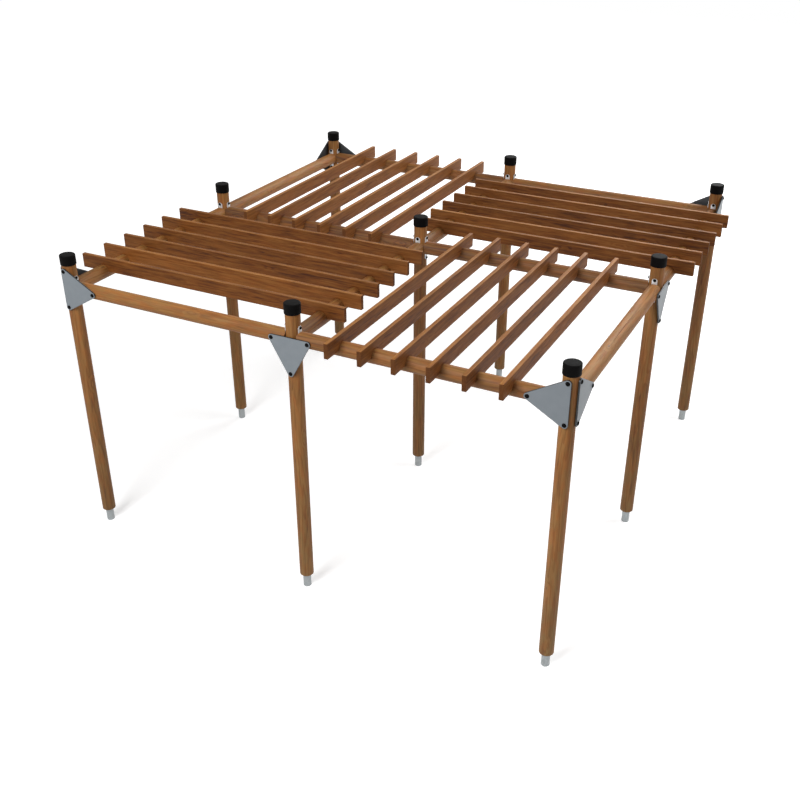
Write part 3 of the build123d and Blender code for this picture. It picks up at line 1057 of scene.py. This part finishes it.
def floor_material():
    """Matt white, with a glow in the background rays alone, stronger out of the lamps' reach."""
    shader = Shader("studio_floor")
    distance = shader.vector("LENGTH", shader.place(), output="Value")
    level = GLOW_NEAR + shader.between(distance, LIT_NEAR, LIT_FAR) * (GLOW_FAR - GLOW_NEAR)
    glow = shader.mix(level * background_rays(shader), BLACK, WHITE)
    sockets = {"Base Color": FLOOR_WHITE, "Roughness": 1.0, "Specular IOR Level": 0.0}
    sockets.update({"Emission Color": glow, "Emission Strength": 1.0})
    white, clear = shader.node("BsdfPrincipled", None, sockets), shader.node("BsdfTransparent")
    underside = shader.node("NewGeometry", None, None, "Backfacing")
    surface = shader.node("MixShader", None, {0: underside, 1: white, 2: clear})
    shader.node("OutputMaterial", None, {"Surface": surface}, None)
    return shader.material


square = np.array([[(-1, -1, 0), (1, -1, 0)], [(-1, 1, 0), (1, 1, 0)]])
floor_mesh, _, _ = make_mesh("floor", [sheet(square * FLOOR_SIZE / 2 - (0, 0, FLOOR_DROP))])
floor_mesh.materials.append(floor_material())
floor = bpy.data.objects.new("floor", floor_mesh)
bpy.context.scene.collection.objects.link(floor)
print(f"floor {FLOOR_SIZE:.0f} m square")

# %% [markdown]
# ## Light
# One large soft lamp stands high in front, one to the right and one behind, and the white floor throws their
# light back up, so no side is left in the dark.

# %% Light
# Azimuth and height in degrees, size in metres, power in watts.
LAMPS = {"key": (-97, 38, 5.0, 900.0), "side": (26, 45, 6.0, 660.0), "back": (86, 28, 7.0, 620.0)}
LAMP_DISTANCE = 12.0
LAMP_AIM = np.array([0.0, 0.0, 1.2])


def make_lamp(name, azimuth, height, size, power):
    """A round soft lamp on a sphere round the pergola, aimed at its middle."""
    lamp = bpy.data.lights.new(name, "AREA")
    lamp.shape = "DISK"
    lamp.size = size
    lamp.energy = power
    turn, climb = math.radians(azimuth), math.radians(height)
    way = np.array([math.cos(climb) * math.cos(turn), math.cos(climb) * math.sin(turn), math.sin(climb)])
    holder = bpy.data.objects.new(name, lamp)
    holder.location = LAMP_AIM + way * LAMP_DISTANCE
    aim = mathutils.Vector(LAMP_AIM - np.array(holder.location))
    holder.rotation_euler = aim.to_track_quat("-Z", "Y").to_euler()
    bpy.context.scene.collection.objects.link(holder)
    print(f"{name}: {power:.0f} W from azimuth {azimuth}, {height} degrees up")


# The world is white to the camera, to mirrors and through glass, and black to everything that is lit.
world = bpy.data.worlds.new("studio_white")
shader = Shader("studio_white", world)
shade = shader.mix(background_rays(shader), BLACK, WHITE)
background = shader.node("Background", None, {"Color": shade, "Strength": 1.0})
shader.node("OutputWorld", None, {"Surface": background}, None)
bpy.context.scene.world = world

for name, lamp in LAMPS.items():
    make_lamp(name, *lamp)

# %% [markdown]
# ## Camera
# The camera stands high in front and to the right, and looks down on all nine posts.

# %% Camera
CAMERA_PLACE = (3.996, -8.260, 5.790)
CAMERA_TURN = math.radians(27.0)
CAMERA_DIP = math.radians(29.93)
CAMERA_LENS = 46.95
CAMERA_FILM = 36.0
CAMERA_RISE = 0.0274
camera_data = bpy.data.cameras.new("camera")
camera_data.lens = CAMERA_LENS
camera_data.sensor_width = CAMERA_FILM
camera_data.shift_y = CAMERA_RISE
camera = bpy.data.objects.new("camera", camera_data)
camera.location = CAMERA_PLACE
camera.rotation_euler = (math.pi / 2 - CAMERA_DIP, 0, CAMERA_TURN)
bpy.context.scene.collection.objects.link(camera)
bpy.context.scene.camera = camera
bpy.context.scene.view_settings.view_transform = "Standard"
print("camera at", CAMERA_PLACE)
